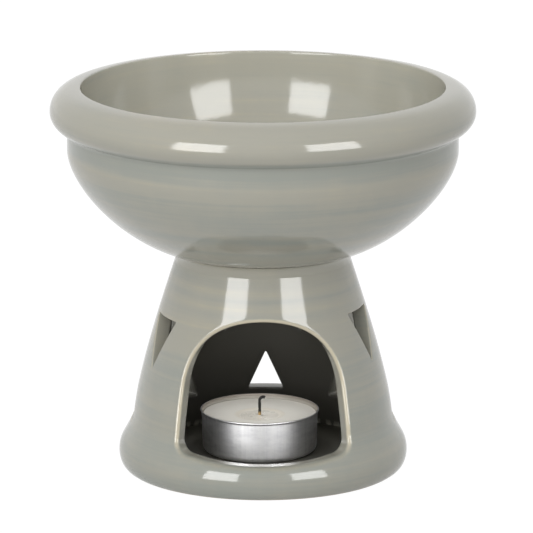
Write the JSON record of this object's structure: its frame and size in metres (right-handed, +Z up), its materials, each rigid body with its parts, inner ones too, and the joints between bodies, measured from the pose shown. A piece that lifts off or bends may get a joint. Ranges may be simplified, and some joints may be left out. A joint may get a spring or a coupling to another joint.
{
  "type": "essential oil burner",
  "caption": "Glazed ceramic oil burner: a deep bowl with a rolled rim on a hollow conical stand with an arched mouth and triangular vents, which shelters a tealight.",
  "frame": {"origin": "centre of the base, on the surface that the burner stands on", "axes": "+Z up along the axis of the bowl and the stand, the arch faces -Y"},
  "size_m": [0.1364, 0.1364, 0.1251],
  "materials": {
    "glaze": "glossy sage grey glaze that breaks beige on edges",
    "cup_foil": "pressed thin sheet, bright",
    "wax": "smooth white paraffin wax",
    "wick": "braided cotton, charred at the top",
    "tab_tin": "tinned sheet"
  },
  "bodies": {
    "burner": {"bowl": "glaze", "stand": "glaze", "base_disc": "glaze", "slip_seam": "glaze"},
    "cup": {"candle_cup": "cup_foil"},
    "refill": {"candle_wax": "wax", "wick": "wick", "wick_tab": "tab_tin"}
  },
  "joints": [
    {"name": "candle_slide", "type": "slide", "parent": "burner", "child": "cup", "axis": [0, -0.9511, 0.309], "range_m": [0, 0.085]},
    {"name": "wax_lift", "type": "slide", "parent": "cup", "child": "refill", "axis": [0, 0, 1], "range_m": [0, 0.016]}
  ]
}
